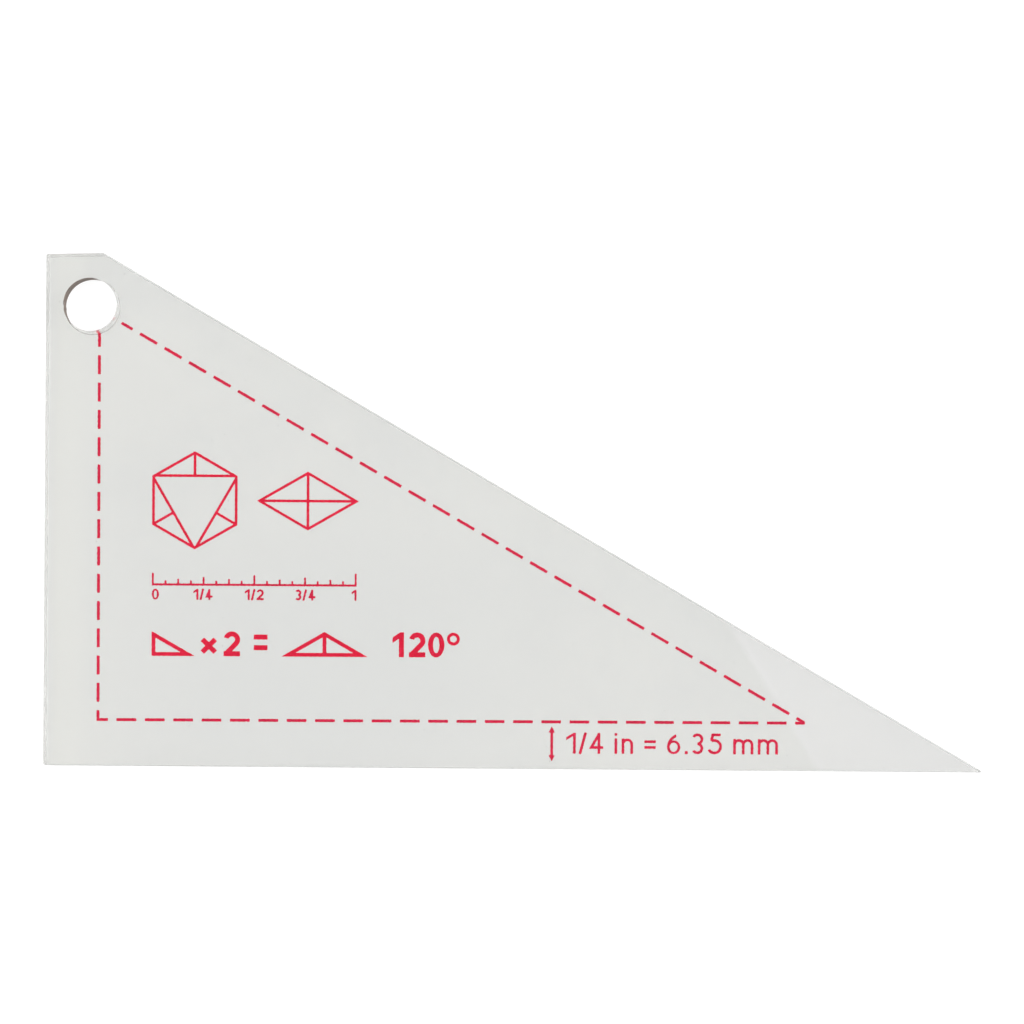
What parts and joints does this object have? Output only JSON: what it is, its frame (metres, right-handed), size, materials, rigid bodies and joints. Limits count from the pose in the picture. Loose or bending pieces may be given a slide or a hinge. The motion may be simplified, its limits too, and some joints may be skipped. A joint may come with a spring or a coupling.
{
  "type": "quilting ruler",
  "caption": "Clear acrylic half-triangle patchwork ruler with a hanging hole and a crimson dashed seam line and figures printed on its back.",
  "frame": {"origin": "middle of the footprint, on the printed back face", "axes": "+X along the long bottom edge towards the pointed tip, +Y towards the short flat top, +Z out of the front face that is read"},
  "size_m": [0.1164, 0.063, 0.003],
  "materials": {
    "acrylic": "clear acrylic, slightly clouded by handling, laser-cut edges",
    "ink": "opaque crimson screen-printing ink"
  },
  "bodies": {
    "root": {"acrylic_plate": "acrylic", "seam_line_left": "ink", "seam_line_bottom": "ink", "seam_line_slant": "ink", "angle_symbol": "ink", "angle_figures": "ink", "inch_scale": "ink", "block_diagram": "ink", "seam_width_label": "ink"}
  },
  "joints": []
}
